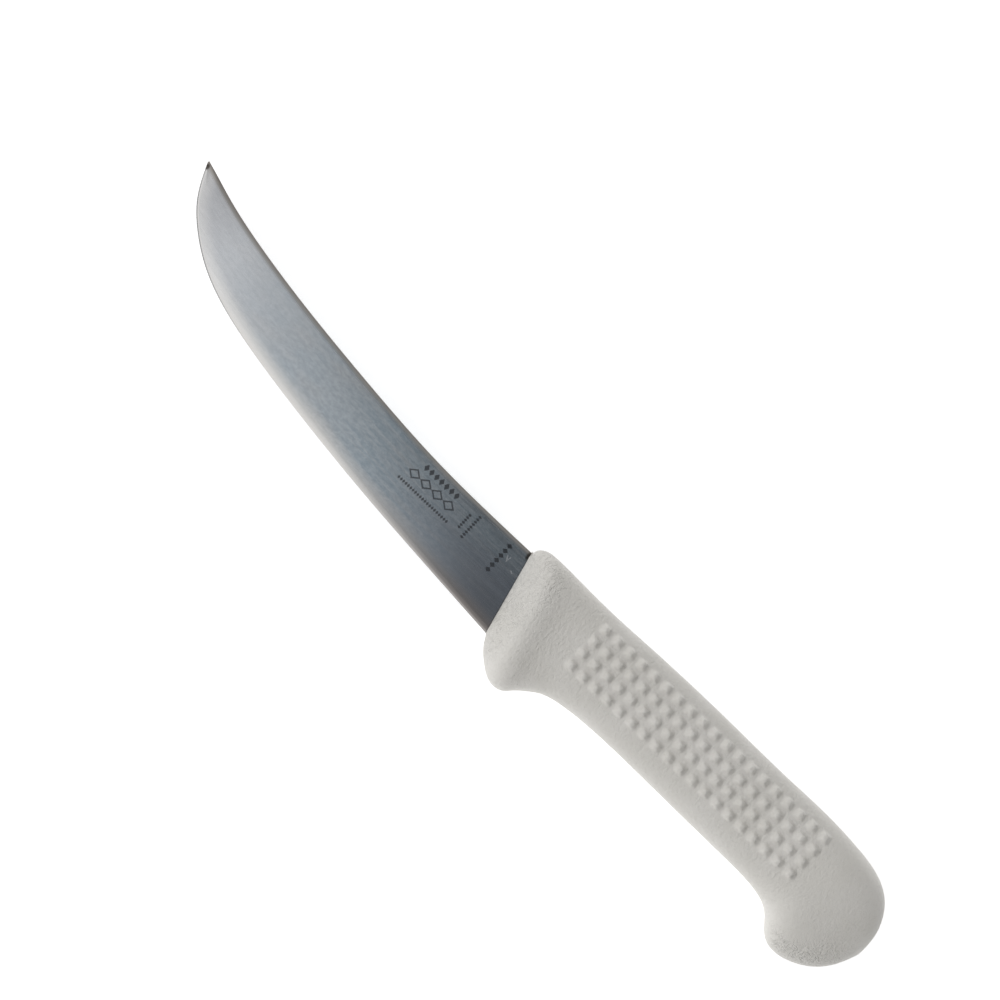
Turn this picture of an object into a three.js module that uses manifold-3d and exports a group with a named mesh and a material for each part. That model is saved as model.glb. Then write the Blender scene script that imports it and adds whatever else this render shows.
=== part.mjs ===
// Curved boning knife in millimetres: a ground steel blade with a hidden tang, a hard core
// moulded on the tang, and a soft grip skin with raised nubs moulded over the core.
// The knife lies on its right side: x runs from the tip to the butt, y towards the spine, z up.
import * as THREE from "three";
import { mergeGeometries, mergeVertices } from "three/addons/utils/BufferGeometryUtils.js";
import Module from "manifold-3d";

const wasm = await Module();
wasm.setup();

// Outlines are drawn from the blade's tip, with z = 0 on the blade's mid-plane.
const CLEARANCE = 0.3; // between a piece and the one moulded round it

// Blade: curved part from the tip, then a straight heel part.
const SPINE = [
  [0.2, 0.85], [5, -0.65], [16, -4.05], [42, -9.3], [70, -13.1], [96, -15.8], [118, -16.9],
];
const EDGE = [
  [0, 0.3], [4.5, -8.6], [11, -15.6], [21, -22.3], [36, -27.8], [62, -32.9], [94, -37.3], [121, -40],
];
const FLAT_END = { spine: [142, -16.9], edge: [147.4, -42.3] }; // just in front of the grip
const SHOULDER = { spine: [148, -16.9], edge: [154, -42.9] }; // inside the grip
const BLADE_STATIONS = 22;
const SPINE_HALF = 1.0; // half the steel's thickness at the spine
const TIP_HALF = 0.6; // the same at the tip
const GRIND = 0.03; // half thickness lost for each millimetre below the spine
const SHOULDER_GRIND = 0.024; // the same at the shoulder, where the grind runs out
const BEVEL = 1.9; // height of the sharpened bevel
const EDGE_HALF = 0.05;

// Tang, a tapered bar with three holes that lock the core.
const TANG = { start: 147, end: 246, y: -28.5, startHalfHeight: 9.5, endHalfHeight: 6.5 };
const TANG_HOLES = [174, 203, 230];
const TANG_HOLE_RADIUS = 3;

// Handle sections from the lip round the blade to the butt: ends of the section on the
// back and on the belly, and half its thickness.
const HANDLE_SECTIONS = [
  { back: [144.1, -17.2], belly: [150.4, -42.6], half: 3.1 },
  { back: [144.9, -15.1], belly: [152.7, -46.3], half: 5 },
  { back: [147.2, -13.5], belly: [156.7, -49.9], half: 7.6 },
  { back: [150.6, -13.1], belly: [160.6, -51.9], half: 10.5 },
  { back: [154, -13.1], belly: [164.5, -51.5], half: 10.9 },
  { back: [158.4, -13.2], belly: [167.2, -49], half: 10.1 },
  { back: [164.3, -13.4], belly: [170.6, -46.2], half: 9.6 },
  { back: [174, -13.5], belly: [175.5, -43.6], half: 9.5 },
  { back: [190, -13.1], belly: [190, -41.8], half: 9.5 },
  { back: [215, -12.9], belly: [215, -41.8], half: 9.7 },
  { back: [240, -13.2], belly: [240, -42.1], half: 10 },
  { back: [257, -13.1], belly: [256.5, -43], half: 10.4 },
  { back: [268, -13.8], belly: [263.8, -46.4], half: 10.9 },
  { back: [277, -15.2], belly: [268.7, -51.2], half: 10.6 },
  { back: [283.8, -18.3], belly: [275.5, -51.4], half: 9.2 },
  { back: [288, -23.2], belly: [282.8, -47.7], half: 6.9 },
  { back: [289.9, -28.1], belly: [287.3, -42.5], half: 4.6 },
  { back: [290.5, -33.2], belly: [290.1, -36.8], half: 1.8 },
];
// Exponents of the section's superellipse: 2 is an ellipse, and a higher one flattens the sides.
const SECTION_POWER = { height: 3.5, thickness: 2.6 };
const SECTION_POINTS = 24;
const HANDLE_STATIONS = 38;
const CORE = { start: 0.17, end: 0.833 }; // shares of the run from lip to butt
const CORE_END_GAP = 0.0075; // the same kind of share, left free at each end of the core
const SKIN_THICKNESS = 2.5;

// Nubs on both sides of the grip.
const NUB_COLUMNS = 19;
const NUB_ROWS = 4;
const NUB_FIRST = { x: 174.2, y: -18.35 };
const NUB_PITCH = { x: 4.71, y: 4.62 };
const NUB_LEAN = 0.035; // shift towards the tip for each millimetre down a column
const NUB = { base: 4.4, top: 1.5, width: 0.95, height: 1.15, sunk: 0.5 }; // width: share of length

const MATERIALS = {
  steel: { color: 0xb4b9bf, roughness: 0.34, metalness: 1 },
  hardPlastic: { color: 0xd9d8d2, roughness: 0.55, metalness: 0 },
  softGrip: { color: 0xe3e2dc, roughness: 0.62, metalness: 0 },
};

const clamp = THREE.MathUtils.clamp;
const lerp = THREE.MathUtils.lerp;
const point = ([x, y]) => new THREE.Vector2(x, y);

// Turns a closed geometry into a solid that can be cut and joined.
function solidOf(geometry) {
  geometry.deleteAttribute("normal");
  geometry.deleteAttribute("uv");
  const merged = mergeVertices(geometry, 1e-4);
  const vertProperties = merged.getAttribute("position").array;
  const triVerts = new Uint32Array(merged.index.array);
  return new wasm.Manifold(new wasm.Mesh({ numProp: 3, vertProperties, triVerts }));
}

function meshOf(name, solid, material) {
  const { numProp, vertProperties, triVerts } = solid.getMesh();
  const geometry = new THREE.BufferGeometry();
  geometry.setAttribute("position", new THREE.BufferAttribute(vertProperties, numProp));
  geometry.setIndex(new THREE.BufferAttribute(triVerts, 1));
  const look = new THREE.MeshStandardMaterial({ ...material, flatShading: true });
  const mesh = new THREE.Mesh(geometry, look);
  mesh.name = name;
  return mesh;
}

// Closed surface through rings that follow each other along +x. Each ring is convex and
// runs from the spine over the left side (+z) to the edge and back under the right side.
function loft(rings) {
  const size = rings[0].length;
  const last = (rings.length - 1) * size;
  const index = [];
  for (let start = 0; start < last; start += size) {
    for (let i = 0; i < size; i++) {
      const a = start + i;
      const b = start + ((i + 1) % size);
      index.push(a, b, a + size, b, b + size, a + size);
    }
  }
  for (let i = 1; i < size - 1; i++) {
    index.push(0, i + 1, i);
    index.push(last, last + i, last + i + 1);
  }
  const geometry = new THREE.BufferGeometry().setFromPoints(rings.flat());
  return geometry.setIndex(index);
}

// Six-sided blade section between a spine point and an edge point, grown on every side.
function bladeRing({ spine, edge, half, grind }, grow) {
  const bevelShare = clamp(BEVEL / spine.distanceTo(edge), 0, 0.4);
  const bevel = edge.clone().lerp(spine, bevelShare);
  const bevelHalf = half - grind * (spine.y - bevel.y);
  const corners = [
    [spine.x, spine.y + grow, half + grow],
    [bevel.x, bevel.y - grow, bevelHalf + grow],
    [edge.x, edge.y - grow, EDGE_HALF + grow],
  ];
  const left = corners.map(([x, y, z]) => new THREE.Vector3(x, y, z));
  const right = corners.map(([x, y, z]) => new THREE.Vector3(x, y, -z)).reverse();
  return [...left, ...right];
}

function bladeBody(grow) {
  const spines = new THREE.SplineCurve(SPINE.map(point)).getSpacedPoints(BLADE_STATIONS);
  const edges = new THREE.SplineCurve(EDGE.map(point)).getSpacedPoints(BLADE_STATIONS);
  const stations = spines.map((spine, i) => ({
    spine,
    edge: edges[i],
    half: lerp(TIP_HALF, SPINE_HALF, i / BLADE_STATIONS),
    grind: GRIND,
  }));
  const heel = { half: SPINE_HALF, grind: GRIND };
  stations.push({ ...heel, spine: point(FLAT_END.spine), edge: point(FLAT_END.edge) });
  const shoulder = { half: SPINE_HALF, grind: SHOULDER_GRIND };
  shoulder.spine = point(SHOULDER.spine).add(new THREE.Vector2(grow, 0));
  shoulder.edge = point(SHOULDER.edge).add(new THREE.Vector2(grow, 0));
  stations.push(shoulder);
  return solidOf(loft(stations.map((station) => bladeRing(station, grow))));
}

function extruded(shape, halfDepth) {
  const settings = { depth: 2 * halfDepth, bevelEnabled: false, curveSegments: 12 };
  return solidOf(new THREE.ExtrudeGeometry(shape, settings).translate(0, 0, -halfDepth));
}

function tangBody(grow) {
  const startHalf = TANG.startHalfHeight + grow;
  const endHalf = TANG.endHalfHeight + grow;
  const endCentre = TANG.end - TANG.endHalfHeight;
  const outline = new THREE.Shape();
  outline.moveTo(TANG.start, TANG.y + startHalf);
  outline.lineTo(TANG.start, TANG.y - startHalf);
  outline.lineTo(endCentre, TANG.y - endHalf);
  outline.absarc(endCentre, TANG.y, endHalf, -Math.PI / 2, Math.PI / 2, false);
  outline.closePath();
  return extruded(outline, SPINE_HALF + grow);
}

// Round pins through the tang's holes: cutters at the holes' radius, or the core's own pins.
function tangPins(radius, halfLength) {
  const pins = TANG_HOLES.map((x) => {
    const pin = new THREE.CylinderGeometry(radius, radius, 2 * halfLength, 20);
    return pin.rotateX(Math.PI / 2).translate(x, TANG.y, 0);
  });
  return solidOf(mergeGeometries(pins));
}

function blade() {
  const holes = tangPins(TANG_HOLE_RADIUS, 2 * SPINE_HALF);
  return bladeBody(0).add(tangBody(0)).subtract(holes);
}

// Handle surface: one section ring at a share t of the run from lip to butt, moved inwards.
const backCurve = new THREE.CatmullRomCurve3(
  HANDLE_SECTIONS.map(({ back, half }) => new THREE.Vector3(...back, half)),
);
const bellyCurve = new THREE.CatmullRomCurve3(
  HANDLE_SECTIONS.map(({ belly }) => new THREE.Vector3(...belly, 0)),
);

const signedPower = (value, power) => Math.sign(value) * Math.abs(value) ** power;

function handleRing(t, inset) {
  const back = backCurve.getPoint(t);
  const belly = bellyCurve.getPoint(t);
  const halfThickness = back.z - inset;
  back.z = 0;
  const centre = back.clone().lerp(belly, 0.5);
  const up = back.clone().sub(belly);
  const halfHeight = up.length() / 2 - inset;
  up.normalize();
  return Array.from({ length: SECTION_POINTS }, (_, i) => {
    const angle = (2 * Math.PI * i) / SECTION_POINTS;
    const high = halfHeight * signedPower(Math.cos(angle), 2 / SECTION_POWER.height);
    const place = centre.clone().addScaledVector(up, high);
    place.z = halfThickness * signedPower(Math.sin(angle), 2 / SECTION_POWER.thickness);
    return place;
  });
}

function handleSurface(start, end, inset) {
  const count = Math.round(HANDLE_STATIONS * (end - start));
  const shares = Array.from({ length: count + 1 }, (_, i) => lerp(start, end, i / count));
  return loft(shares.map((share) => handleRing(share, inset)));
}

function handleCore() {
  const body = solidOf(handleSurface(CORE.start, CORE.end, SKIN_THICKNESS + CLEARANCE));
  const pins = tangPins(TANG_HOLE_RADIUS - CLEARANCE, 2 * SPINE_HALF);
  return body.subtract(tangBody(CLEARANCE)).subtract(bladeBody(CLEARANCE)).add(pins);
}

// Nubs stand square to the surface that they are dropped on, on the left and right side.
function nubs(surface) {
  const side = new THREE.Mesh(surface);
  const down = new THREE.Raycaster();
  const above = new THREE.Vector3(0, 0, 1);
  const nubSolids = [];
  for (let column = 0; column < NUB_COLUMNS; column++) {
    for (let row = 0; row < NUB_ROWS; row++) {
      const drop = row * NUB_PITCH.y;
      const x = NUB_FIRST.x + column * NUB_PITCH.x - NUB_LEAN * drop;
      const y = NUB_FIRST.y - drop;
      down.set(new THREE.Vector3(x, y, 100), new THREE.Vector3(0, 0, -1));
      const hit = down.intersectObject(side)[0];
      const turn = new THREE.Quaternion().setFromUnitVectors(above, hit.face.normal);
      const nub = nubShape().applyQuaternion(turn).translate(x, y, hit.point.z);
      nubSolids.push(nub, nub.clone().rotateX(Math.PI).translate(0, 2 * y, 0));
    }
  }
  return solidOf(mergeGeometries(nubSolids));
}

// Square frustum with its base sunk below z = 0.
function nubShape() {
  const corner = Math.SQRT1_2; // from the side of a square to the distance of its corners
  const depth = NUB.height + NUB.sunk;
  const shape = new THREE.CylinderGeometry(NUB.top * corner, NUB.base * corner, depth, 4);
  shape.rotateY(Math.PI / 4).rotateX(Math.PI / 2);
  return shape.scale(1, NUB.width, 1).translate(0, 0, NUB.height - depth / 2);
}

function gripSkin() {
  const outside = handleSurface(0, 1, 0);
  const hollow = handleSurface(CORE.start - CORE_END_GAP, CORE.end + CORE_END_GAP, SKIN_THICKNESS);
  const raised = solidOf(outside).add(nubs(outside)).subtract(solidOf(hollow));
  return raised.subtract(bladeBody(CLEARANCE)).subtract(tangBody(CLEARANCE));
}

const knife = new THREE.Group();
knife.add(meshOf("blade", blade(), MATERIALS.steel));
knife.add(meshOf("handle_core", handleCore(), MATERIALS.hardPlastic));
knife.add(meshOf("grip_skin", gripSkin(), MATERIALS.softGrip));

// The origin is under the middle of the knife, on the surface that it lies on.
const extent = new THREE.Box3().setFromObject(knife);
const middle = extent.getCenter(new THREE.Vector3());
knife.position.set(-middle.x, -middle.y, -extent.min.z);

export default knife;
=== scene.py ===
import math

import bpy
import numpy as np
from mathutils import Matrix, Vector


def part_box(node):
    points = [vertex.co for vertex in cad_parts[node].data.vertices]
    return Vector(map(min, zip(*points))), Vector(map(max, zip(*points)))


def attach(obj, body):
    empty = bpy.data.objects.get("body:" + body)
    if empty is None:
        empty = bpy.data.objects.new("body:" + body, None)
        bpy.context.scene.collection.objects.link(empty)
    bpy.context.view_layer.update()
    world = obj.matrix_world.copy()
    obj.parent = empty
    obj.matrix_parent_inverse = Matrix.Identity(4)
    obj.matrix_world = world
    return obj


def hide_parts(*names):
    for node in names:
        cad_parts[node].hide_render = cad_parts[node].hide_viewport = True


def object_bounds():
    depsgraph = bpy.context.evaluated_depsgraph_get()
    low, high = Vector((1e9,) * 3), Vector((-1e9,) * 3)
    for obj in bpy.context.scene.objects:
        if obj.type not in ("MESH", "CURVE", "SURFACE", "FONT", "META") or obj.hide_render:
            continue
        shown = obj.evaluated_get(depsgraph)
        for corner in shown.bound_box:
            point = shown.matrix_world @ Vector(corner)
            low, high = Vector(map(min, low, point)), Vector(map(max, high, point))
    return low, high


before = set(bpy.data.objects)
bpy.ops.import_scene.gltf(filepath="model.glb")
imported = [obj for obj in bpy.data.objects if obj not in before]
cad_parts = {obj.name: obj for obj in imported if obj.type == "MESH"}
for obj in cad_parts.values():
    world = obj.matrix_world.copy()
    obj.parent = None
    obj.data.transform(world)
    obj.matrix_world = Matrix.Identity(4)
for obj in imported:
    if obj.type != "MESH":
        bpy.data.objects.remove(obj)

cad_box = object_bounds()

# Curved boning knife. Outlines are drawn in millimetres from the blade's tip: x runs to the
# butt, y towards the spine, and z = 0 is the blade's mid-plane. to_frame() puts them in place.
MM = 0.001

# Blade: spine and edge from the tip to the shoulder inside the grip, then the tang.
SPINE = [
    (0.2, 0.85), (5, -0.65), (16, -4.05), (42, -9.3), (70, -13.1), (96, -15.8), (118, -16.9),
    (148, -16.9),
]
EDGE = [
    (0, 0.3), (4.5, -8.6), (11, -15.6), (21, -22.3), (36, -27.8), (62, -32.9), (94, -37.3), (121, -40),
    (154, -42.9),
]
BLADE_STATIONS = 260
FULL_THICKNESS_X = 118  # the steel thins from here to the tip
SPINE_HALF = 1.0  # half the steel's thickness
TIP_HALF = 0.6
BEHIND_EDGE_HALF = 0.24  # half thickness just above the sharpened bevel
EDGE_HALF = 0.03
BEVEL = 1.9
BEVEL_MOST = 0.3  # share of the blade's width that the bevel may take at the tip
BEVEL_POWER = 1.3  # 1 would be a flat bevel
BEVEL_SHARES = (0.06, 0.14, 0.25, 0.4, 0.6, 0.8, 1)
GRIND_POWER = 1.8  # 1 would be a flat grind, more is convex
GRIND_SHARES = [0, 0.04, *np.linspace(0.1, 0.9, 17), 0.96, 1]
SPINE_ROUNDING = 1.3
SPINE_ROUNDING_MOST = 0.15  # share of the blade's width
# The rounded spine: shares of the rounding's depth and of the half thickness.
SPINE_CORNER = [(0, 0), (0.01, 0.3), (0.04, 0.52), (0.12, 0.7), (0.27, 0.84), (0.5, 0.94), (0.75, 0.985)]
TANG_Y = -28.5
TANG_RUN = (149.5, 246)
TANG_HALF_HEIGHTS = (9.5, 6.5)  # at the shoulder and at the end
TANG_STATIONS = 12
TANG_END_STATIONS = 8
TANG_CHAMFER = 0.4
TANG_EDGE_HALF = 0.6
TANG_HOLES = (174, 203, 230)
TANG_HOLE_RADIUS = 3
TANG_HOLE_SIDES = 32
TANG_DRILL_LENGTH = 6  # of the cutters that leave the holes

# Handle sections from the lip round the blade to the butt: back x, back y, belly x, belly y
# and half the thickness.
HANDLE_SECTIONS = [
    (144.1, -17.2, 150.4, -42.6, 3.1),
    (144.9, -15.1, 152.7, -46.3, 5),
    (147.2, -13.5, 156.7, -49.9, 7.6),
    (150.6, -13.1, 160.6, -51.9, 10.5),
    (154, -13.1, 164.5, -51.5, 10.9),
    (158.4, -13.2, 167.2, -49, 10.1),
    (164.3, -13.4, 170.6, -46.2, 9.6),
    (174, -13.5, 175.5, -43.6, 9.5),
    (190, -13.1, 190, -41.8, 9.5),
    (215, -12.9, 215, -41.8, 9.7),
    (240, -13.2, 240, -42.1, 10),
    (257, -13.1, 256.5, -43, 10.4),
    (268, -13.8, 263.8, -46.4, 10.9),
    (277, -15.2, 268.7, -51.2, 10.6),
    (283.8, -18.3, 275.5, -51.4, 9.2),
    (288, -23.2, 282.8, -47.7, 6.9),
    (289.9, -28.1, 287.3, -42.5, 4.6),
    (290.5, -33.2, 290.1, -36.8, 1.8),
]
MIDDLE_SECTION = 8
BUTT_END = (290.5, -35, 0)
SECTION_POWERS = (3.5, 2.6)  # superellipse exponents along the section and through it
SKIN_THICKNESS = 2.5
CAVITY_RUN = (14.29, 2.76)  # last and first place of the hollow for the core, counted in sections
CAVITY_STATIONS = 40

# The slot that the blade leaves the grip through, and the bead round it: section values
# followed by the superellipse exponent, from inside the grip to the bead's outside.
LIP_SECTIONS = [
    (149.8, -16.6, 156.2, -43.2, 1.15, 9),
    (144.5, -16.6, 150.8, -42.7, 1.15, 9),
    (144.05, -16.6, 150.4, -42.65, 1.3, 6),
    (143.85, -16.5, 150.2, -42.7, 1.75, 4.5),
    (143.85, -16.6, 150.2, -42.6, 2.4, 3.6),
]

# Nubs: four rows of nineteen on each side of the grip. Half sizes are along and across it.
NUB_COLUMNS = 19
NUB_ROWS = 4
NUB_FIRST = (174.2, -18.35)
NUB_PITCH = (4.71, 4.62)
NUB_LEAN = 0.035  # shift towards the tip for each millimetre down a column
NUB_HEIGHT = 1.2
NUB_FOOT = (2.1, 1.75)
NUB_TOP = (0.25, 0.6)

# Mesh spacing over the nubs and elsewhere, and how far the finer one reaches past them.
FINE_STEP = 0.33
COARSE_STEP = 0.82
FINE_MARGINS = (2.5, 0.5)
DENSE_STEPS = 8000  # steps of the rows that spacings are measured on
LAY_STEPS = 900

# Etched pattern: turned into a column or not, first lozenge's centre, count, pitch, half sizes
# along and across the row, and the share left open in the middle of each lozenge.
MARKS = [
    (False, (105.6, -19.9), 7, 1.95, (0.8, 1.15), 0),
    (False, (104.2, -23.5), 4, 4.4, (2.2, 1.7), 0.68),
    (False, (101.5, -27.2), 21, 0.93, (0.42, 0.62), 0),
    (True, (123.8, -21.3), 6, 0.9, (0.42, 0.62), 0),
    (True, (126.3, -19.7), 9, 0.95, (0.42, 0.68), 0),
    (True, (138.1, -19.9), 6, 1.8, (0.78, 0.95), 0),
]
MARK_SOFTNESS = 0.1  # of a lozenge's outline, as a share of its half size
SCRATCHES = [  # both ends and the width
    ((139.4, -21.9), (140.5, -24.0), 0.28),
    ((140.6, -21.6), (140.3, -23.6), 0.22),
    ((143.0, -24.6), (144.1, -25.3), 0.22),
]
SCRATCH_CORE = 0.3  # share of width and length, from the middle, where a scratch is full
LIP_SHADOW_LINE = (-0.2438, 140)  # painted shadow where the steel enters the grip: slope of x against y, x at y = 0
LIP_SHADOW_WIDTH = (0.55, 0.1)
DARK_SPOTS = [((144.1, -18.1), (0.9, 1.5)), ((0.8, -0.7), (0.8, 1.0))]  # centre and half sizes
DARK_SPOT_SOFTNESS = (1.3, 0.5)

# Where the steel's tone changes: pairs of millimetres between which a change runs from nothing
# to full. RUN is measured along x, BAND from the edge or the spine.
FLECK_RUN = (20, 90)
FLECK_SHARES = (0.045, 0.14)
DEEP_RUN = (72, 92)  # a deeper blue from here to the grip, stronger in some streaks
DEEP_SHARES = (0.5, 0.2)
# Painted shade: the steel turns darker towards the grip, in place of the dim surroundings it reflects
# there.
HEEL_SHADE_RUN = (80, 148)
HEEL_SHADE_BAND = (4, 12)  # the painted shade of the heel is weaker near the spine
HEEL_SHADE_SHARES = (0.25, 0.82)
# Painted shade: darker still on the heel's lower part, towards the edge.
LOW_HEEL_SHADE_RUN = (115, 148)
LOW_HEEL_SHADE_BAND = (14, 5)
# Painted light: the steel turns lighter towards the tip.
TIP_LIGHT_RUN = (70, 10)
TIP_SHADE_RUN = (28, 0)
EDGE_BAND = (5.5, 0)
EDGE_BAND_RUN = (5, 45)
EDGE_BAND_SHARES = (0.3, 0.9)
EDGE_BROWN_RUN = (75, 142)
# Painted highlight along the bevel.
BEVEL_HIGHLIGHT_BAND = (1.0, 0.2)
EDGE_LINE_BAND = (0.5, 0.15)
EDGE_LINE_RUN = (50, 20)
SPINE_BAND = (2.0, 0.3)
STEEL_ROUGHNESS = (0.21, 0.27)
SPINE_ROUGHNESS = 0.12  # added on the spine

# Noise of the steel: its scale along each axis, for millimetres, and the noise values between
# which a change runs from nothing to full.
GRAIN_STRETCH = (0.06, 2.2, 0)
GRAIN_VALUES = (0.25, 0.75)
GRAIN_DEPTH = 0.004  # millimetres
GRAIN_STRENGTH = 0.5
STREAK_STRETCH = (0.03, 0.7, 0)
STREAK_VALUES = (0.35, 0.7)
DEEP_VALUES = (0.4, 0.6)
CLOUD_STRETCH = (0.05, 0.11, 0)
CLOUD_VALUES = (0.45, 0.7)
FLECK_STRETCH = (0.45, 0.9, 0)
FLECK_VALUES = (0.35, 0.65)

# How much each tone covers of the ones under it.
WARM_SHARE = 0.3
TIP_LIGHT_SHARE = 0.8
TIP_SHADE_SHARE = 0.42
LOW_HEEL_SHADE_SHARE = 0.4
BEVEL_HIGHLIGHT_SHARE = 0.35
EDGE_LINE_SHARE = 0.6
SPINE_SHARE = 0.85
MARK_SHARE = 0.85
SPOT_AND_SHADOW_SHARE = 0.9
SCRATCH_SHARE = 0.6

# Where the grip's skin wrinkles: a little on the guard, and on the belly side of the butt's rim.
GUARD_RUN = (160, 154)
GUARD_WRINKLES = 0.7  # strength there, where the rim's is 1
RIM_HEIGHTS = (10.3, 8.3)
RIM_SIDE = (2, 7)  # the wrinkles are weaker between the two rims
RIM_SIDE_SHARES = (0.3, 1.0)
RIM_RUN = (262, 270)
RIM_DROP = (-32, -46)
SMOOTH_RUN = (254, 268)  # the grain turns finer here, towards the butt
SMOOTH_SHARES = (1.0, 0.6)

# Noise of the grip, in the same way, with the depths of its relief in millimetres.
CROSSWISE_STRETCH = (1.3, 0.7, 1.0)
CROSSWISE_DEPTH = 0.26
# Painted shade in the low parts of the crosswise grain.
CREASE_SHADE_VALUES = (0.5, 0.3)
CREASE_SHADE_SHARE = 0.1
PEBBLE_SCALE = 2.1
PEBBLE_DEPTH = 0.11
PEBBLE_VALUES = (0.3, 0.7)
WRINKLE_STRETCH = (0.8, 0.55, 0.7)
WRINKLE_DEPTH = 0.7
PATCH_SCALE = 0.06
PATCH_VALUES = (0.35, 0.7)
GRIP_ROUGHNESS = (0.42, 0.52)

# Flow lines of the core's plastic.
CORE_STRETCH = (0.05, 0.3, 0.3)
CORE_VALUES = (0.3, 0.7)
CORE_ROUGHNESS = (0.45, 0.6)

# Colours.
STEEL_BLUE = (0.385, 0.44, 0.485)
STEEL_GREY = (0.425, 0.475, 0.515)
STEEL_WARM = (0.48, 0.475, 0.475)
STEEL_DEEP = (0.30, 0.395, 0.465)
# Painted light towards the tip.
STEEL_TIP_LIGHT = (0.47, 0.475, 0.49)
# Painted shade of the heel.
STEEL_HEEL_SHADE = (0.182, 0.2, 0.235)
STEEL_SHADE = (0.08, 0.078, 0.082)
# Bright steel of the honed band and the flecks, and the painted highlight on the bevel.
EDGE_BRIGHT_AND_HIGHLIGHT = (0.78, 0.76, 0.735)
EDGE_BROWN = (0.235, 0.21, 0.195)
EDGE_LINE = (0.25, 0.25, 0.255)
SPINE_BROWN = (0.25, 0.225, 0.2)
MARK_DARK = (0.07, 0.075, 0.085)
# Painted shadow at the lip, and the dark spots.
SPOT_AND_SHADOW_DARK = (0.06, 0.052, 0.045)
SCRATCH_BRIGHT = (0.75, 0.78, 0.82)
GRIP_PALE = (0.742, 0.722, 0.678)
GRIP_LIGHT = (0.775, 0.755, 0.716)
# Painted shade in the grain's creases.
GRIP_CREASE_SHADE = (0.52, 0.50, 0.46)
CORE_DARK = (0.62, 0.61, 0.57)
CORE_LIGHT = (0.70, 0.69, 0.65)
FLOOR_DARK = (0.90, 0.90, 0.90)
FLOOR_LIGHT = (0.92, 0.92, 0.92)
WHITE = (1, 1, 1)

# Studio, in metres. The world is a pale room that turns dim on the side of the butt, with a
# glow at the horizon and a dark patch of ceiling for the steel to reflect.
FLOOR_SIZE = 6.0
FLOOR_GLOW = 0.57
FLOOR_ROUGHNESS = 0.7
FLOOR_CLOUD_SCALE = 3.0
SKY_BRIGHT_SIDE = (-0.94, -0.34, 0)
SKY_TURN = (-0.6, -0.25)
SKY_LEVELS = (0.03, 0.9)
SKY_RISE = (0.0, 0.8)
SKY_RISE_LEVELS = (0.6, 1.0)
SKY_HORIZON = (0.1, 0.4)
SKY_HORIZON_LEVELS = (0.2, 0.0)
PATCH_CENTRE = (0.2, 0.07, 1)
PATCH_SIZE = (0.30, 0.30, 1)
PATCH_EDGE = (0.75, 1.25)
PATCH_LEVELS = (0.04, 1.0)
LIGHTS = [  # name, place, target, size, watts
    ("key", (-0.62, 0.05, 0.75), (-0.05, 0, 0), (0.5, 0.9), 0.6),
    ("side", (-0.1, -0.8, 0.45), (0, 0, 0), (0.9, 0.5), 0.4),
]
CAMERA_HEIGHT = 0.7  # over the blade
CAMERA_AIM = (127.0, -12.2, 0)  # drawing millimetres
CAMERA_TURN = math.radians(43.5)
FRAME_WIDTH = 0.2857  # what the picture takes in at the blade's height
SENSOR_WIDTH = 36


# ---------------------------------------------------------------- shapes

blade_low, blade_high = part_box("blade")
DRAWING_ORIGIN = np.array([
    blade_low.x,
    blade_high.y - SPINE[0][1] * MM,
    (blade_low.z + blade_high.z) / 2,
])


def to_frame(points):
    """Drawing millimetres to metres in the CAD frame."""
    return np.asarray(points, float) * MM + DRAWING_ORIGIN


def spline(points, places):
    """Natural cubic spline through the points, read at places counted in points."""
    points = np.asarray(points, float)
    steps = np.linalg.norm(np.diff(points, axis=0), axis=1) ** 0.5
    knots = np.concatenate([[0], np.cumsum(steps)])
    count = len(points)
    system = np.eye(count)
    target = np.zeros_like(points)
    for i in range(1, count - 1):
        before, after = steps[i - 1], steps[i]
        system[i, i - 1:i + 2] = before, 2 * (before + after), after
        target[i] = 6 * ((points[i + 1] - points[i]) / after - (points[i] - points[i - 1]) / before)
    bend = np.linalg.solve(system, target)
    at = np.interp(places, np.arange(count), knots)
    i = np.clip(np.searchsorted(knots, at, side="right") - 1, 0, count - 2)
    width = steps[i][:, None]
    right = (at - knots[i])[:, None] / width
    left = 1 - right
    curve = left * points[i] + right * points[i + 1]
    return curve + ((left**3 - left) * bend[i] + (right**3 - right) * bend[i + 1]) * width**2 / 6


def run_lengths(points):
    """Distance along a row of points, from the first to each of them."""
    return np.concatenate([[0], np.cumsum(np.linalg.norm(np.diff(points, axis=0), axis=1))])


def even_spline(points, count):
    """Evenly spaced points on the spline through the given ones."""
    places = np.linspace(0, len(points) - 1, DENSE_STEPS + 1)
    run = run_lengths(spline(points, places))
    return spline(points, np.interp(np.linspace(0, run[-1], count), run, places))


def spaced(places, positions, steps):
    """Thins a dense row of places so that neighbours are the wanted steps apart."""
    lengths = np.diff(run_lengths(positions)) / steps[1:]
    run = np.concatenate([[0], np.cumsum(lengths)])
    return np.interp(np.linspace(0, run[-1], math.ceil(run[-1]) + 1), run, places)


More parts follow.
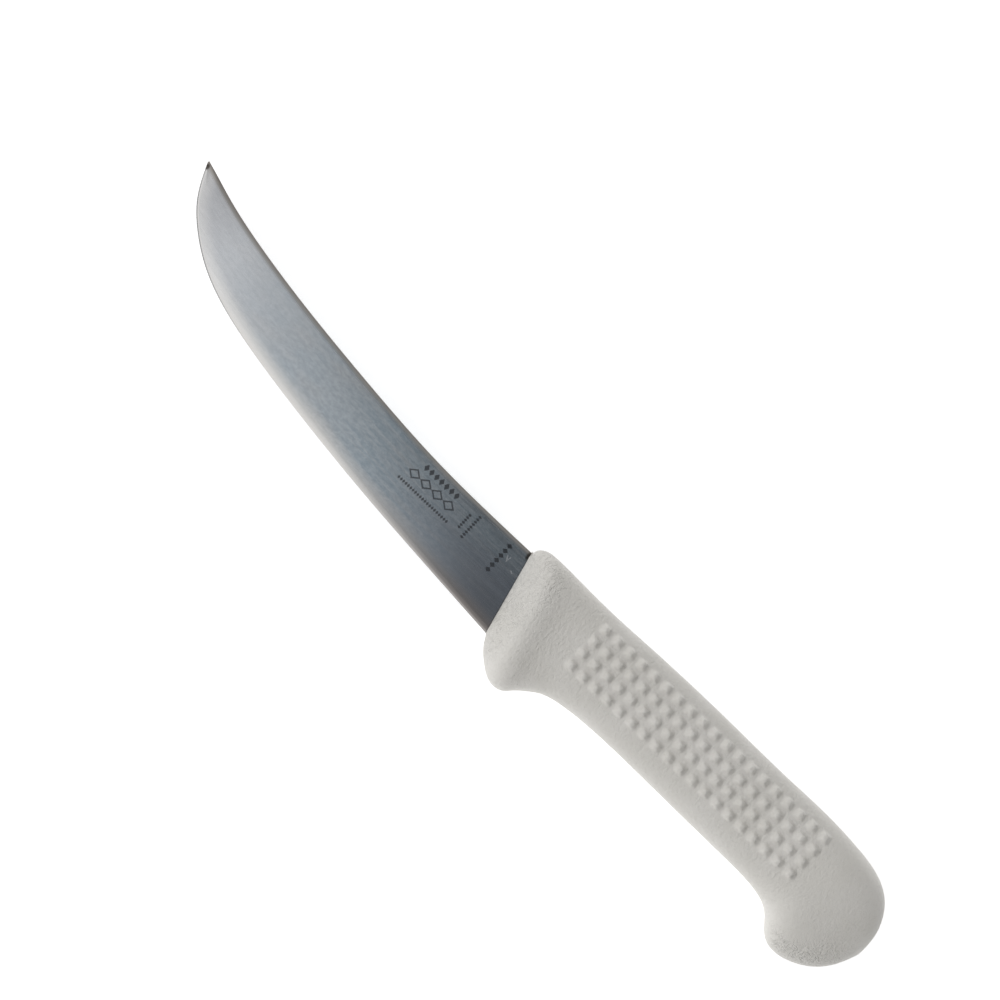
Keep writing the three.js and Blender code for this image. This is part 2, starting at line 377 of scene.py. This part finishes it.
def loft_object(name, rings, end):
    """A closed mesh through rings of equal size, its ends closed by fans to a point."""
    rings = np.asarray(rings)
    count, size = rings.shape[:2]
    vertices = np.concatenate([rings.reshape(-1, 3), [rings[0].mean(0), end]])
    first = (np.arange(count - 1)[:, None] * size + np.arange(size)).ravel()
    follow = (np.arange(count - 1)[:, None] * size + (np.arange(size) + 1) % size).ravel()
    faces = np.stack([first, follow, follow + size, first + size], 1).tolist()
    last = (count - 1) * size
    for i in range(size):
        j = (i + 1) % size
        faces.append((count * size, j, i))
        faces.append((count * size + 1, last + i, last + j))
    mesh = bpy.data.meshes.new(name)
    mesh.from_pydata(to_frame(vertices).tolist(), [], faces)
    mesh.shade_smooth()
    piece = bpy.data.objects.new(name, mesh)
    bpy.context.scene.collection.objects.link(piece)
    return piece


def signed_power(value, power):
    return np.sign(value) * np.abs(value) ** power


def section_ring(section, angles, powers=SECTION_POWERS, inset=0):
    """Superellipse between the section's ends, from the back over the left side to the belly."""
    back = np.array([section[0], section[1], 0])
    belly = np.array([section[2], section[3], 0])
    height = np.linalg.norm(back - belly)
    high = (height / 2 - inset) * signed_power(np.cos(angles), 2 / powers[0])
    ring = (back + belly) / 2 + high[:, None] * (back - belly) / height
    ring[:, 2] = (section[4] - inset) * signed_power(np.sin(angles), 2 / powers[1])
    return ring


def section_angles():
    """Angles round a section, close together where the nubs are."""
    angles = np.linspace(0, 2 * math.pi, DENSE_STEPS + 1)
    ring = section_ring(HANDLE_SECTIONS[MIDDLE_SECTION], angles)
    top = NUB_FIRST[1] + NUB_PITCH[1] / 2
    bottom = top - NUB_ROWS * NUB_PITCH[1] - FINE_MARGINS[1]
    beside_nubs = (ring[:, 1] < top) & (ring[:, 1] > bottom)
    return spaced(angles, ring, np.where(beside_nubs, FINE_STEP, COARSE_STEP))[:-1]


def handle_places():
    """Places along the handle, close together where the nubs are."""
    places = np.linspace(0, len(HANDLE_SECTIONS) - 1, DENSE_STEPS + 1)
    sections = spline(HANDLE_SECTIONS, places)
    x = (sections[:, 0] + sections[:, 2]) / 2
    last_nub = NUB_FIRST[0] + (NUB_COLUMNS - 1) * NUB_PITCH[0]
    beside_nubs = (x > NUB_FIRST[0] - FINE_MARGINS[0]) & (x < last_nub + FINE_MARGINS[0])
    return spaced(places, sections, np.where(beside_nubs, FINE_STEP, COARSE_STEP))


def ring_normals(rings):
    along = np.gradient(rings, axis=0)
    wrapped = np.concatenate([rings[:, -1:], rings, rings[:, :1]], axis=1)
    around = (wrapped[:, 2:] - wrapped[:, :-2]) / 2
    normals = np.cross(around, along)
    return normals / np.maximum(np.linalg.norm(normals, axis=2, keepdims=True), 1e-9)


def smooth_fall(distance, full, none):
    """1 up to the distance full, 0 from the distance none, smooth between."""
    share = np.clip((none - distance) / (none - full), 0, 1)
    return share**2 * (3 - 2 * share)


def nub_heights(x, y):
    """Height of the soft-edged square nubs over the grip at drawing points x, y."""
    row = np.clip(np.round((NUB_FIRST[1] - y) / NUB_PITCH[1]), 0, NUB_ROWS - 1)
    drop = row * NUB_PITCH[1]
    first = NUB_FIRST[0] - NUB_LEAN * drop
    column = np.clip(np.round((x - first) / NUB_PITCH[0]), 0, NUB_COLUMNS - 1)
    along = smooth_fall(np.abs(x - first - column * NUB_PITCH[0]), NUB_TOP[0], NUB_FOOT[0])
    across = smooth_fall(np.abs(y - NUB_FIRST[1] + drop), NUB_TOP[1], NUB_FOOT[1])
    return NUB_HEIGHT * along * across


def make_grip():
    """The whole skin as one closed sheet: out of the core's hollow, through the blade's slot,
    round its bead, and back over the outside to the butt."""
    angles = section_angles()
    inside = spline(HANDLE_SECTIONS, np.linspace(*CAVITY_RUN, CAVITY_STATIONS))
    hollow = [section_ring(section, angles, inset=SKIN_THICKNESS) for section in inside]
    lip = [section_ring(section, angles, (power, power)) for *section, power in LIP_SECTIONS]
    outside = [section_ring(section, angles) for section in spline(HANDLE_SECTIONS, handle_places())]
    outside = np.array(outside)
    heights = nub_heights(outside[:, :, 0], outside[:, :, 1])
    outside += heights[:, :, None] * ring_normals(outside)
    return loft_object("grip", np.concatenate([hollow, lip, outside]), BUTT_END)


def steel_ring(spine, edge, spine_half, bevel_half, edge_half, bevel):
    """Section of the steel from the spine's middle over the left side to the edge and back."""
    width = np.linalg.norm(edge - spine)
    down = (edge - spine) / width
    bevel = min(bevel, BEVEL_MOST * width)
    rounding = min(SPINE_ROUNDING, SPINE_ROUNDING_MOST * width)
    rows = [(depth * rounding, half * spine_half) for depth, half in SPINE_CORNER]
    for share in GRIND_SHARES:
        thinned = (spine_half - bevel_half) * share**GRIND_POWER
        rows.append((rounding + share * (width - bevel - rounding), spine_half - thinned))
    for share in BEVEL_SHARES:
        half = bevel_half + share**BEVEL_POWER * (edge_half - bevel_half)
        rows.append((width - bevel * (1 - share), half))
    left = [(*(spine + depth * down), half) for depth, half in rows]
    right = [(x, y, -z) for x, y, z in reversed(left[1:])]
    return left + right


def tang_ring(x, half_height):
    top = np.array([x, TANG_Y + half_height])
    bottom = np.array([x, TANG_Y - half_height])
    return steel_ring(top, bottom, SPINE_HALF, SPINE_HALF, TANG_EDGE_HALF, TANG_CHAMFER)


def tang_rings():
    """The tapered bar from the shoulder, and its round end."""
    start, end = TANG_RUN
    wide, narrow = TANG_HALF_HEIGHTS
    rings = []
    for share in np.linspace(0, 1, TANG_STATIONS):
        x = start + share * (end - narrow - start)
        rings.append(tang_ring(x, wide + share * (narrow - wide)))
    for angle in np.linspace(0, math.pi / 2, TANG_END_STATIONS + 1)[1:-1]:
        rings.append(tang_ring(end - narrow * (1 - math.sin(angle)), narrow * math.cos(angle)))
    return rings


def drill_tang(blade):
    size = {"radius": TANG_HOLE_RADIUS * MM, "depth": TANG_DRILL_LENGTH * MM}
    for x in TANG_HOLES:
        place = to_frame((x, TANG_Y, 0))
        bpy.ops.mesh.primitive_cylinder_add(vertices=TANG_HOLE_SIDES, location=place, **size)
        drill = bpy.context.object
        cut = blade.modifiers.new("hole", "BOOLEAN")
        cut.operation = "DIFFERENCE"
        cut.object = drill
        with bpy.context.temp_override(object=blade, active_object=blade):
            bpy.ops.object.modifier_apply(modifier=cut.name)
        bpy.data.objects.remove(drill)


def make_blade():
    spines = even_spline(SPINE, BLADE_STATIONS)
    edges = even_spline(EDGE, BLADE_STATIONS)
    rings = []
    for spine, edge in zip(spines, edges, strict=True):
        share = min(1, spine[0] / FULL_THICKNESS_X)
        spine_half = TIP_HALF + share * (SPINE_HALF - TIP_HALF)
        rings.append(steel_ring(spine, edge, spine_half, BEHIND_EDGE_HALF, EDGE_HALF, BEVEL))
    blade = loft_object("blade_steel", rings + tang_rings(), (TANG_RUN[1], TANG_Y, 0))
    drill_tang(blade)
    return blade


def store_lay(blade):
    """Keeps, for every point of the blade, its distance along, from the spine and from the edge."""
    places = np.zeros(len(blade.data.vertices) * 3)
    blade.data.vertices.foreach_get("co", places)
    points = (places.reshape(-1, 3) - DRAWING_ORIGIN) / MM
    spine = spline(SPINE, np.linspace(0, len(SPINE) - 1, LAY_STEPS))
    edge = spline(EDGE, np.linspace(0, len(EDGE) - 1, LAY_STEPS))
    to_spine = np.linalg.norm(points[:, None, :2] - spine, axis=2)
    to_edge = np.linalg.norm(points[:, None, :2] - edge, axis=2)
    along = run_lengths(spine)[to_spine.argmin(1)]
    lay = np.stack([along, to_spine.min(1), to_edge.min(1)], 1)
    attribute = blade.data.attributes.new("lay", "FLOAT_VECTOR", "POINT")
    attribute.data.foreach_set("vector", lay.astype(np.float32).ravel())


# ---------------------------------------------------------------- materials


class Nodes:
    """Short calls for building the node tree of a new material or world."""

    def __init__(self, owner, shader="Principled BSDF"):
        owner.use_nodes = True
        self.owner = owner
        self.tree = owner.node_tree
        self.shader = self.tree.nodes[shader]

    def put(self, socket, value):
        if isinstance(value, bpy.types.NodeSocket):
            self.tree.links.new(value, socket)
        elif socket.type == "RGBA":
            socket.default_value = (*value, 1)
        else:
            socket.default_value = value

    def use(self, **sockets):
        for name, value in sockets.items():
            self.put(self.shader.inputs[name.replace("_", " ")], value)

    def add(self, kind, inputs=(), **settings):
        made = self.tree.nodes.new("ShaderNode" + kind)
        for key, value in settings.items():
            setattr(made, key, value)
        for key, value in dict(inputs).items():
            self.put(made.inputs[key], value)
        return made

    def split(self, vector):
        return self.add("SeparateXYZ", {0: vector}).outputs

    def vector(self, operation, a, b=(0, 0, 0)):
        """A vector, or a number where the operation is a length or a dot product."""
        made = self.add("VectorMath", {0: a, 1: b}, operation=operation)
        return made.outputs["Value" if operation in ("LENGTH", "DOT_PRODUCT") else "Vector"]

    def math(self, operation, a, b=0.0):
        return self.add("Math", {0: a, 1: b}, operation=operation).outputs[0]

    def product(self, first, *others):
        for other in others:
            first = self.math("MULTIPLY", first, other)
        return first

    def ramp(self, value, low, high, at_low, at_high):
        settings = {"Value": value, "From Min": low, "From Max": high, "To Min": at_low, "To Max": at_high}
        return self.add("MapRange", settings, interpolation_type="SMOOTHSTEP").outputs["Result"]

    def step(self, value, none, full):
        """0 at none and beyond, 1 at full and beyond, smooth between; full may be the lower one."""
        if none <= full:
            return self.ramp(value, none, full, 0.0, 1.0)
        return self.ramp(value, full, none, 1.0, 0.0)

    def noise(self, vector, scale=1.0, detail=2.0, roughness=0.5, distortion=0.0):
        inputs = {"Vector": vector, "Scale": scale, "Detail": detail, "Roughness": roughness}
        inputs["Distortion"] = distortion
        return self.add("TexNoise", inputs).outputs["Fac"]

    def mix(self, share, a, b):
        made = self.add("Mix", data_type="RGBA")
        for socket, value in ((made.inputs[0], share), (made.inputs[6], a), (made.inputs[7], b)):
            self.put(socket, value)
        return made.outputs[2]

    def layer(self, tone, colour, share, *masks):
        """The tone, with a share of the colour over it where the masks are 1."""
        return self.mix(self.product(*masks, share), tone, colour)

    def bump(self, height, distance, strength=1.0, normal=None):
        inputs = {"Height": height, "Distance": distance, "Strength": strength}
        if normal is not None:
            inputs["Normal"] = normal
        return self.add("Bump", inputs).outputs[0]


def material_nodes(name):
    return Nodes(bpy.data.materials.new(name))


def drawing_coordinates(nodes):
    """Object coordinates turned into drawing millimetres."""
    place = nodes.add("TexCoord").outputs["Object"]
    moved = nodes.vector("SUBTRACT", place, tuple(DRAWING_ORIGIN))
    return nodes.vector("DIVIDE", moved, (MM, MM, MM))


def steel_material():
    nodes = material_nodes("ground_steel")
    lay = nodes.add("Attribute", attribute_name="lay").outputs["Vector"]
    _, from_spine, from_edge = nodes.split(lay)
    place = drawing_coordinates(nodes)
    x, y, z = nodes.split(place)
    left = nodes.math("GREATER_THAN", z, 0.0)
    grain = nodes.noise(nodes.vector("MULTIPLY", lay, GRAIN_STRETCH), roughness=0.6)
    tone = ground_tone(nodes, lay, place, x)
    tone = heel_shade_and_edge(nodes, tone, x, from_spine, from_edge)
    spine = nodes.step(from_spine, *SPINE_BAND)
    tone = nodes.layer(tone, SPINE_BROWN, SPINE_SHARE, spine)
    tone = nodes.layer(tone, MARK_DARK, MARK_SHARE, etched_marks(nodes, x, y), left)
    # Painted shadow along the grip's lip, with a dark spot by it and the worn tip.
    tone = nodes.layer(tone, SPOT_AND_SHADOW_DARK, SPOT_AND_SHADOW_SHARE, spots_and_shadow(nodes, place, x, y))
    tone = nodes.layer(tone, SCRATCH_BRIGHT, SCRATCH_SHARE, scratches(nodes, x, y), left)
    polish = nodes.ramp(grain, *GRAIN_VALUES, *STEEL_ROUGHNESS)
    roughness = nodes.math("ADD", polish, nodes.product(spine, SPINE_ROUGHNESS))
    nodes.use(Base_Color=tone, Metallic=1.0, Roughness=roughness)
    nodes.use(Normal=nodes.bump(grain, GRAIN_DEPTH * MM, GRAIN_STRENGTH))
    return nodes.owner


def ground_tone(nodes, lay, place, x):
    """Streaks of the grinding along the blade, warmer clouds, a deeper blue, flecks, painted light towards
    the tip and painted shade at its point.
    """
    along = nodes.vector("MULTIPLY", lay, STREAK_STRETCH)
    streaks = nodes.noise(along, detail=3.0, roughness=0.6, distortion=0.4)
    clouds = nodes.noise(nodes.vector("MULTIPLY", place, CLOUD_STRETCH))
    tone = nodes.mix(nodes.step(streaks, *STREAK_VALUES), STEEL_BLUE, STEEL_GREY)
    tone = nodes.layer(tone, STEEL_WARM, WARM_SHARE, nodes.step(clouds, *CLOUD_VALUES))
    deep = nodes.ramp(streaks, *DEEP_VALUES, *DEEP_SHARES)
    tone = nodes.layer(tone, STEEL_DEEP, deep, nodes.step(x, *DEEP_RUN))
    # Painted light towards the tip.
    tone = nodes.layer(tone, STEEL_TIP_LIGHT, TIP_LIGHT_SHARE, nodes.step(x, *TIP_LIGHT_RUN))
    stretched = nodes.vector("MULTIPLY", place, FLECK_STRETCH)
    speckle = nodes.noise(stretched, detail=5.0, roughness=0.75)
    flecks = nodes.mix(nodes.step(speckle, *FLECK_VALUES), EDGE_BRIGHT_AND_HIGHLIGHT, STEEL_SHADE)
    tone = nodes.mix(nodes.ramp(x, *FLECK_RUN, *FLECK_SHARES), tone, flecks)
    return nodes.layer(tone, STEEL_SHADE, TIP_SHADE_SHARE, nodes.step(x, *TIP_SHADE_RUN))


def heel_shade_and_edge(nodes, tone, x, from_spine, from_edge):
    """Painted shade on the heel and low on it, the honed band along the edge, a painted highlight on its
    bevel, and its thin dark line.
    """
    # Painted shade: darker steel towards the grip.
    heel_shade = nodes.ramp(from_spine, *HEEL_SHADE_BAND, *HEEL_SHADE_SHARES)
    tone = nodes.layer(tone, STEEL_HEEL_SHADE, heel_shade, nodes.step(x, *HEEL_SHADE_RUN))
    # Painted shade low on the heel.
    low_heel_shade = nodes.step(from_edge, *LOW_HEEL_SHADE_BAND)
    tone = nodes.layer(tone, STEEL_SHADE, LOW_HEEL_SHADE_SHARE, nodes.step(x, *LOW_HEEL_SHADE_RUN), low_heel_shade)
    honed = nodes.mix(nodes.step(x, *EDGE_BROWN_RUN), EDGE_BRIGHT_AND_HIGHLIGHT, EDGE_BROWN)
    share = nodes.ramp(x, *EDGE_BAND_RUN, *EDGE_BAND_SHARES)
    tone = nodes.layer(tone, honed, share, nodes.step(from_edge, *EDGE_BAND))
    # Painted highlight on the bevel.
    tone = nodes.layer(tone, EDGE_BRIGHT_AND_HIGHLIGHT, BEVEL_HIGHLIGHT_SHARE, nodes.step(from_edge, *BEVEL_HIGHLIGHT_BAND))
    line = nodes.step(from_edge, *EDGE_LINE_BAND)
    return nodes.layer(tone, EDGE_LINE, EDGE_LINE_SHARE, line, nodes.step(x, *EDGE_LINE_RUN))


def etched_marks(nodes, x, y):
    """Rows and columns of small lozenges."""
    total = 0.0
    for turned, start, count, pitch, half, open_share in MARKS:
        run = nodes.math("SUBTRACT", x, start[0])
        side = nodes.math("SUBTRACT", start[1], y)
        if turned:
            run, side = side, run
        index = nodes.math("ROUND", nodes.math("DIVIDE", run, pitch))
        index = nodes.math("MINIMUM", nodes.math("MAXIMUM", index, 0.0), count - 1.0)
        beside = nodes.math("SUBTRACT", run, nodes.product(index, pitch))
        shape = nodes.math("DIVIDE", nodes.math("ABSOLUTE", beside), half[0])
        away = nodes.math("DIVIDE", nodes.math("ABSOLUTE", side), half[1])
        shape = nodes.math("ADD", shape, away)
        mark = nodes.step(shape, 1 + MARK_SOFTNESS, 1 - MARK_SOFTNESS)
        if open_share:
            hollow = nodes.step(shape, open_share - MARK_SOFTNESS, open_share + MARK_SOFTNESS)
            mark = nodes.product(mark, hollow)
        total = nodes.math("MAXIMUM", total, mark)
    return total


def spots_and_shadow(nodes, place, x, y):
    """Painted shadow: a dark line where the steel enters the grip; besides it a dark spot at its top, and
    the worn tip.
    """
    slope, start = LIP_SHADOW_LINE
    lip_x = nodes.math("ADD", nodes.product(y, slope), start)
    total = nodes.step(nodes.math("SUBTRACT", lip_x, x), *LIP_SHADOW_WIDTH)
    for centre, size in DARK_SPOTS:
        away = nodes.vector("SUBTRACT", place, (*centre, 0))
        flat = nodes.vector("MULTIPLY", away, (1 / size[0], 1 / size[1], 0))
        spot = nodes.step(nodes.vector("LENGTH", flat), *DARK_SPOT_SOFTNESS)
        total = nodes.math("MAXIMUM", total, spot)
    return total


def scratches(nodes, x, y):
    total = 0.0
    for (x0, y0), (x1, y1), width in SCRATCHES:
        length = math.hypot(x1 - x0, y1 - y0)
        way = ((x1 - x0) / length, (y1 - y0) / length)
        dx = nodes.math("SUBTRACT", x, x0)
        dy = nodes.math("SUBTRACT", y, y0)
        run = nodes.math("ADD", nodes.product(dx, way[0]), nodes.product(dy, way[1]))
        side = nodes.math("SUBTRACT", nodes.product(dy, way[0]), nodes.product(dx, way[1]))
        past = nodes.math("ABSOLUTE", nodes.math("SUBTRACT", run, length / 2))
        line = nodes.step(nodes.math("ABSOLUTE", side), width, SCRATCH_CORE * width)
        line = nodes.product(line, nodes.step(past, 0.5 * length, SCRATCH_CORE * length))
        total = nodes.math("MAXIMUM", total, line)
    return total


def grip_material():
    nodes = material_nodes("grained_elastomer")
    place = drawing_coordinates(nodes)
    x, y, z = nodes.split(place)
    crosswise = nodes.noise(nodes.vector("MULTIPLY", place, CROSSWISE_STRETCH), distortion=0.5)
    pebbles = nodes.noise(place, scale=PEBBLE_SCALE, roughness=0.6)
    stretched = nodes.vector("MULTIPLY", place, WRINKLE_STRETCH)
    wrinkles = nodes.noise(stretched, detail=1.0, distortion=2.2)
    patches = nodes.noise(place, scale=PATCH_SCALE)
    tone = nodes.mix(nodes.step(patches, *PATCH_VALUES), GRIP_PALE, GRIP_LIGHT)
    # Painted shade where the crosswise grain is low.
    tone = nodes.layer(tone, GRIP_CREASE_SHADE, CREASE_SHADE_SHARE, nodes.step(crosswise, *CREASE_SHADE_VALUES))
    nodes.use(Base_Color=tone, Roughness=nodes.ramp(pebbles, *PEBBLE_VALUES, *GRIP_ROUGHNESS))
    height = nodes.math("ABSOLUTE", z)
    rim = nodes.product(nodes.step(height, *RIM_HEIGHTS), nodes.step(x, *RIM_RUN))
    rim = nodes.product(rim, nodes.step(y, *RIM_DROP))
    rim = nodes.product(rim, nodes.ramp(height, *RIM_SIDE, *RIM_SIDE_SHARES))
    guard = nodes.product(nodes.step(x, *GUARD_RUN), GUARD_WRINKLES)
    smooth = nodes.ramp(x, *SMOOTH_RUN, *SMOOTH_SHARES)
    grain = nodes.bump(crosswise, CROSSWISE_DEPTH * MM, smooth)
    grain = nodes.bump(pebbles, PEBBLE_DEPTH * MM, smooth, grain)
    wrinkled = nodes.math("ADD", guard, rim)
    nodes.use(Normal=nodes.bump(wrinkles, WRINKLE_DEPTH * MM, wrinkled, grain))
    return nodes.owner


def core_material():
    nodes = material_nodes("core_plastic")
    place = drawing_coordinates(nodes)
    flow = nodes.noise(nodes.vector("MULTIPLY", place, CORE_STRETCH), detail=3.0)
    nodes.use(Base_Color=nodes.mix(flow, CORE_DARK, CORE_LIGHT))
    nodes.use(Roughness=nodes.ramp(flow, *CORE_VALUES, *CORE_ROUGHNESS))
    return nodes.owner


def floor_material():
    nodes = material_nodes("pale_floor")
    clouds = nodes.noise(nodes.add("TexCoord").outputs["Object"], scale=FLOOR_CLOUD_SCALE)
    nodes.use(Base_Color=nodes.mix(clouds, FLOOR_DARK, FLOOR_LIGHT), Roughness=FLOOR_ROUGHNESS)
    nodes.use(Emission_Color=WHITE, Emission_Strength=FLOOR_GLOW)
    return nodes.owner


def put_material(piece, material):
    piece.data.materials.clear()
    piece.data.materials.append(material)


# ---------------------------------------------------------------- studio


def make_camera():
    data = bpy.data.cameras.new("camera")
    data.sensor_width = SENSOR_WIDTH
    data.lens = SENSOR_WIDTH * CAMERA_HEIGHT / FRAME_WIDTH
    camera = bpy.data.objects.new("camera", data)
    camera.location = to_frame(CAMERA_AIM) + np.array([0, 0, CAMERA_HEIGHT])
    camera.rotation_euler = (0, 0, CAMERA_TURN)
    bpy.context.scene.collection.objects.link(camera)
    bpy.context.scene.camera = camera


def make_light(name, place, target, size, watts):
    data = bpy.data.lights.new(name, "AREA")
    data.shape = "RECTANGLE"
    data.size, data.size_y = size
    data.energy = watts
    light = bpy.data.objects.new(name, data)
    light.location = place
    towards = Vector(target) - Vector(place)
    light.rotation_euler = towards.to_track_quat("-Z", "Y").to_euler()
    bpy.context.scene.collection.objects.link(light)


def make_world():
    nodes = Nodes(bpy.data.worlds.new("studio"), "Background")
    bpy.context.scene.world = nodes.owner
    direction = nodes.add("TexCoord").outputs["Generated"]
    towards = nodes.vector("DOT_PRODUCT", direction, SKY_BRIGHT_SIDE)
    up = nodes.vector("DOT_PRODUCT", direction, (0, 0, 1))
    side = nodes.ramp(towards, *SKY_TURN, *SKY_LEVELS)
    side = nodes.product(side, nodes.ramp(up, *SKY_RISE, *SKY_RISE_LEVELS))
    horizon = nodes.ramp(up, *SKY_HORIZON, *SKY_HORIZON_LEVELS)
    from_patch = nodes.vector("SUBTRACT", direction, PATCH_CENTRE)
    distance = nodes.vector("LENGTH", nodes.vector("DIVIDE", from_patch, PATCH_SIZE))
    patch = nodes.ramp(distance, *PATCH_EDGE, *PATCH_LEVELS)
    room = nodes.math("MAXIMUM", side, horizon)
    nodes.use(Color=WHITE, Strength=nodes.product(room, patch))


def make_floor():
    bpy.ops.mesh.primitive_plane_add(size=FLOOR_SIZE, location=(0, 0, cad_box[0][2]))
    floor = bpy.context.object
    floor.name = "floor"
    put_material(floor, floor_material())


make_camera()
make_world()
make_floor()
for light in LIGHTS:
    make_light(*light)

blade = make_blade()
store_lay(blade)
put_material(blade, steel_material())
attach(blade, "root")
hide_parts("blade")

grip = make_grip()
put_material(grip, grip_material())
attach(grip, "root")
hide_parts("grip_skin")

put_material(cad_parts["handle_core"], core_material())

bpy.context.scene.view_settings.view_transform = "Standard"
